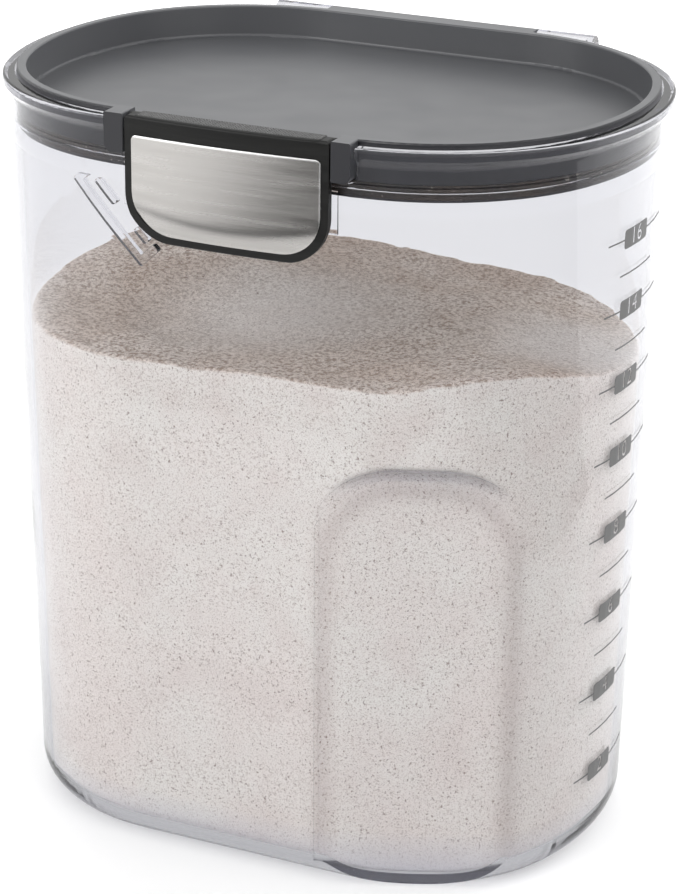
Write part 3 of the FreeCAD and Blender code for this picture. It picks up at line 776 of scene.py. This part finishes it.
bpy.ops.mesh.inset(thickness=cell_x * dimple_slope_share, use_individual=True)
bpy.ops.transform.translate(value=(0, 0, -dimple_depth))
bpy.ops.mesh.select_all(action="DESELECT")
bpy.ops.object.mode_set(mode="OBJECT")
for vertex in pad.data.vertices:
    forward = (pad_high.y - vertex.co.y) / (pad_high.y - pad_low.y)
    vertex.co.y += bow(vertex.co.x) * forward
slab = pad.modifiers.new("slab", "SOLIDIFY")
slab.thickness = pad_high.z - pad_low.z - dimple_depth
slab.offset = -1
bpy.ops.object.modifier_apply(modifier="slab")
soften = pad.modifiers.new("soften", "SUBSURF")
soften.levels = 1
soften.render_levels = 1
bpy.ops.object.modifier_apply(modifier="soften")
bpy.ops.object.shade_smooth()

# The rubber is gray with lint on top, and the dimples are painted black inside as shade
pad_dimple_shade = (0.006, 0.006, 0.006, 1)
pad_gray = (0.10, 0.10, 0.10, 1)
pad_lint = (0.13, 0.129, 0.127, 1)
rubber, tree, shader = start_material("grip_rubber")
touch = place_group(
    tree, skin, ripple_scale=400, ripple_height=0.3, grain_scale=5000, grain_height=0.6,
    roughness_low=0.5, roughness_high=0.65,
)
where = tree.nodes.new("ShaderNodeTexCoord")
split = tree.nodes.new("ShaderNodeSeparateXYZ")
tree.links.new(where.outputs["Object"], split.inputs["Vector"])
pad_top_colour = tint(tree, ramp(tree, noise(tree, where, 1600.0, 2.0), 0.4, 0.7), pad_gray, pad_lint)
# Painted shade in the dimples, by depth below the top
out_of_dimple_shade = ramp(tree, split.outputs["Z"], pad_high.z - dimple_shade_full_depth, pad_high.z - dimple_shade_start_depth)
tree.links.new(tint(tree, out_of_dimple_shade, pad_dimple_shade, pad_top_colour), shader.inputs["Base Color"])
tree.links.new(touch.outputs["Roughness"], shader.inputs["Roughness"])
dress(pad, rubber)
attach(pad, "latch")
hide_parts("latch_grip_pad")

# Latch plate: pressed stainless sheet, bowed and creased, and brushed along its length.
# It is blanked with two wide corners, its rim is coined round, and it is bonded into the frame.
plate_thickness = 0.001
plate_foot_corner = 0.012
plate_head_corner = 0.0016
plate_match = 0.00001
plate_slice_x = 0.0014
plate_slices_x = 20
plate_slice_z = 0.0009
plate_slices_z = 31
coin_radius = 0.0004
crease_height = 0.1968
crease_rise = 4.4
crease_soft = 0.0012
crease_lean = math.tan(math.radians(12))
plate_low, plate_high = (Vector(corner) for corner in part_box("latch_plate"))
bpy.ops.object.select_all(action="DESELECT")
bpy.ops.mesh.primitive_plane_add(size=1, rotation=(math.pi / 2, 0, 0))
plate = bpy.context.object
plate.name = "latch_plate_sheet"
plate.scale = (plate_high.x - plate_low.x, plate_high.z - plate_low.z, 1)
plate.location = (0, plate_low.y, (plate_low.z + plate_high.z) / 2)
bpy.ops.object.transform_apply(location=True, rotation=True, scale=True)
bpy.ops.object.mode_set(mode="EDIT")
bpy.ops.mesh.select_mode(type="VERT")
for corner, corner_z in ((plate_foot_corner, plate_low.z), (plate_head_corner, plate_high.z)):
    bpy.ops.mesh.select_all(action="DESELECT")
    bpy.ops.object.mode_set(mode="OBJECT")
    for vertex in plate.data.vertices:
        at_end = abs(vertex.co.z - corner_z) < plate_match
        at_side = abs(abs(vertex.co.x) - plate_high.x) < plate_match
        vertex.select = at_end and at_side
    bpy.ops.object.mode_set(mode="EDIT")
    bpy.ops.mesh.bevel(offset=corner, segments=12, affect="VERTICES")
for step in range(-plate_slices_x, plate_slices_x + 1):
    bpy.ops.mesh.select_all(action="SELECT")
    bpy.ops.mesh.bisect(plane_co=(step * plate_slice_x, 0, 0), plane_no=(1, 0, 0))
for step in range(1, plate_slices_z + 1):
    bpy.ops.mesh.select_all(action="SELECT")
    bpy.ops.mesh.bisect(plane_co=(0, 0, plate_low.z + step * plate_slice_z), plane_no=(0, 0, 1))
bpy.ops.object.mode_set(mode="OBJECT")
sheet = plate.modifiers.new("sheet", "SOLIDIFY")
sheet.thickness = plate_thickness
sheet.offset = -1
bpy.ops.object.modifier_apply(modifier="sheet")
coin = plate.modifiers.new("coin", "BEVEL")
coin.width = coin_radius
coin.segments = 4
coin.limit_method = "ANGLE"
coin.angle_limit = math.radians(60)
bpy.ops.object.modifier_apply(modifier="coin")
creased = plate.data.attributes.new("creased", "FLOAT", "POINT")
for vertex, cell in zip(plate.data.vertices, creased.data):
    x, y, z = vertex.co
    drop = crease_height + crease_rise * x * x - z
    bent = (drop + math.sqrt(drop * drop + crease_soft * crease_soft)) / 2
    cell.value = math.exp(-(drop / crease_soft) ** 2)
    vertex.co.y = y + bow(x) + bent * crease_lean
bpy.ops.object.shade_smooth_by_angle(angle=math.radians(40))

# Painted highlight along the coined rim at the top and the +X edge, and painted shade in the crease
steel_dark = (0.43, 0.416, 0.4, 1)
steel_pale = (0.51, 0.494, 0.478, 1)
steel_shade = (0.22, 0.215, 0.21, 1)
steel_rim_highlight = (0.95, 0.945, 0.94, 1)
brushed, tree, shader = start_material("plate_steel")
drawn = place_group(tree, lines, along=24, across=2600)
where = tree.nodes.new("ShaderNodeTexCoord")
split = tree.nodes.new("ShaderNodeSeparateXYZ")
tree.links.new(where.outputs["Object"], split.inputs["Vector"])
crease_mask = add_node(tree, "ShaderNodeAttribute", attribute_name="creased")
side_rim_highlight = ramp(tree, split.outputs["X"], plate_high.x - 0.0006, plate_high.x - 0.0003)
head_rim_highlight = ramp(tree, split.outputs["Z"], plate_high.z - 0.0007, plate_high.z - 0.0004)
crease_shade = ramp(tree, crease_mask.outputs["Fac"], 0.0, 1.0, 0.0, 0.45)
steel_colour = tint(tree, ramp(tree, drawn.outputs["Streak"], 0.3, 0.7), steel_dark, steel_pale)
steel_colour = tint(tree, crease_shade, steel_colour, steel_shade)
# Painted highlight on the rim
steel_colour = tint(tree, compute(tree, "MAXIMUM", side_rim_highlight, head_rim_highlight), steel_colour, steel_rim_highlight)
tree.links.new(steel_colour, shader.inputs["Base Color"])
tree.links.new(ramp(tree, drawn.outputs["Streak"], 0.3, 0.7, 0.22, 0.29), shader.inputs["Roughness"])
shader.inputs["Metallic"].default_value = 1.0
emboss(tree, shader, drawn.outputs["Height"], 0.1, 0.00005)
dress(plate, brushed)
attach(plate, "latch")
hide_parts("latch_plate")

# Stage: a pale paper sweep under soft studio lamps, and a white surround.
# The paper glows a little where it is seen or mirrored.
# Where it shows through the tub it is an even white, with a painted shadow around the foot.
floor_size = 12
floor_drop = 0.0002
paper_colour = (0.82, 0.82, 0.82, 1)
near_glow = 0.2
far_glow = 0.5
through_foot_shade = 0.55
through_far = 0.93
half = 0.5


def first_sight(tree, ray):
    """One for a ray that has met no matt surface yet."""
    return compute(tree, "LESS_THAN", ray.outputs["Diffuse Depth"], half)


def past_glass(tree, ray):
    """One for a ray that has gone through clear plastic."""
    return compute(tree, "GREATER_THAN", ray.outputs["Transmission Depth"], half)


bpy.ops.object.select_all(action="DESELECT")
bpy.ops.mesh.primitive_plane_add(size=floor_size, location=(0, 0, -floor_drop))
floor = bpy.context.object
floor.name = "floor"
paper, tree, shader = start_material("paper_sweep")
output = tree.nodes["Material Output"]
tree.nodes.remove(shader)
paper_matt = add_node(tree, "ShaderNodeBsdfDiffuse", color=paper_colour)
paper_lift = tree.nodes.new("ShaderNodeEmission")
paper_white = tree.nodes.new("ShaderNodeEmission")
lit_paper = tree.nodes.new("ShaderNodeAddShader")
where = tree.nodes.new("ShaderNodeTexCoord")
away = add_node(tree, "ShaderNodeVectorMath", operation="LENGTH")
ray = tree.nodes.new("ShaderNodeLightPath")
tree.links.new(where.outputs["Object"], away.inputs[0])
seen = compute(tree, "MAXIMUM", ray.outputs["Is Camera Ray"], ray.outputs["Is Glossy Ray"])
plain_sight = compute(tree, "MULTIPLY", seen, first_sight(tree, ray))
glow = ramp(tree, away.outputs["Value"], 0.5, 3.0, near_glow, far_glow)
through_white = ramp(tree, away.outputs["Value"], 0.09, 0.2, through_foot_shade, through_far)
tree.links.new(compute(tree, "MULTIPLY", plain_sight, glow), paper_lift.inputs["Strength"])
tree.links.new(through_white, paper_white.inputs["Strength"])
tree.links.new(paper_matt.outputs["BSDF"], lit_paper.inputs[0])
tree.links.new(paper_lift.outputs["Emission"], lit_paper.inputs[1])
through_sight = compute(tree, "MULTIPLY", past_glass(tree, ray), first_sight(tree, ray))
paper_seen = blend_shaders(
    tree, through_sight, lit_paper.outputs["Shader"], paper_white.outputs["Emission"],
)
tree.links.new(paper_seen, output.inputs["Surface"])
dress(floor, paper)

# Gray mats on the floor ahead and to the right of the latch, which only mirror-like surfaces show.
# What the tub's own walls mirror inside passes through the mats.
mat_colour = (0.03, 0.03, 0.03, 1)
mat_places = (
    ("front_mat", (0.01, -1.06, 0.001), (0.58, 1.4)),
    ("right_mat", (0.8, -0.8, 0.001), (1.0, 1.9)),
)
gray, tree, shader = start_material("gray_mat")
output = tree.nodes["Material Output"]
shader.inputs["Base Color"].default_value = mat_colour
shader.inputs["Roughness"].default_value = 0.9
unseen = tree.nodes.new("ShaderNodeBsdfTransparent")
ray = tree.nodes.new("ShaderNodeLightPath")
mat_seen = blend_shaders(tree, past_glass(tree, ray), shader.outputs["BSDF"], unseen.outputs["BSDF"])
tree.links.new(mat_seen, output.inputs["Surface"])
for name, place, size in mat_places:
    bpy.ops.object.select_all(action="DESELECT")
    bpy.ops.mesh.primitive_plane_add(size=1, location=place)
    mat = bpy.context.object
    mat.name = name
    mat.scale = (size[0], size[1], 1)
    bpy.ops.object.transform_apply(location=True, rotation=True, scale=True)
    mat.visible_camera = False
    mat.visible_diffuse = False
    mat.visible_transmission = False
    mat.visible_shadow = False
    dress(mat, gray)

# The surround is dimmer as a light than as a backdrop
surround_light = 0.7
surround_white = 1.0
world = bpy.data.worlds.new("white_surround")
scene.world = world
world.use_nodes = True
tree = world.node_tree
backdrop = tree.nodes["Background"]
backdrop.inputs["Color"].default_value = (1, 1, 1, 1)
ray = tree.nodes.new("ShaderNodeLightPath")
seen = compute(tree, "MAXIMUM", ray.outputs["Is Camera Ray"], ray.outputs["Is Glossy Ray"])
seen = compute(tree, "MAXIMUM", seen, ray.outputs["Is Transmission Ray"])
plain_sight = compute(tree, "MULTIPLY", seen, first_sight(tree, ray))
surround = ramp(tree, plain_sight, 0.0, 1.0, surround_light, surround_white)
tree.links.new(surround, backdrop.inputs["Strength"])

# The lamps aim at the middle of the tub, and those behind it leave no glare on the lid
lamp_aim = Vector((0, 0, 0.12))
lamp_behind = 0.5
lamps = (
    ("key_lamp", (-1.0, -1.3, 0.95), 1.2, 15),
    ("fill_lamp", (1.3, -0.6, 0.8), 1.2, 7),
    ("top_lamp", (0.1, 0.4, 1.8), 1.6, 5),
    ("right_back_lamp", (0.7, 1.1, 0.6), 0.9, 12),
    ("left_back_lamp", (-0.8, 1.0, 0.6), 0.9, 7),
)
for name, place, size, power in lamps:
    aim = Vector(place) - lamp_aim
    bpy.ops.object.light_add(type="AREA", location=place, rotation=aim.to_track_quat("Z", "Y").to_euler())
    lamp = bpy.context.object
    lamp.name = name
    lamp.data.size = size
    lamp.data.energy = power
    lamp.visible_camera = False
    lamp.visible_transmission = False
    lamp.visible_glossy = place[1] < lamp_behind

scene.view_settings.view_transform = "Standard"
scene.cycles.use_denoising = True
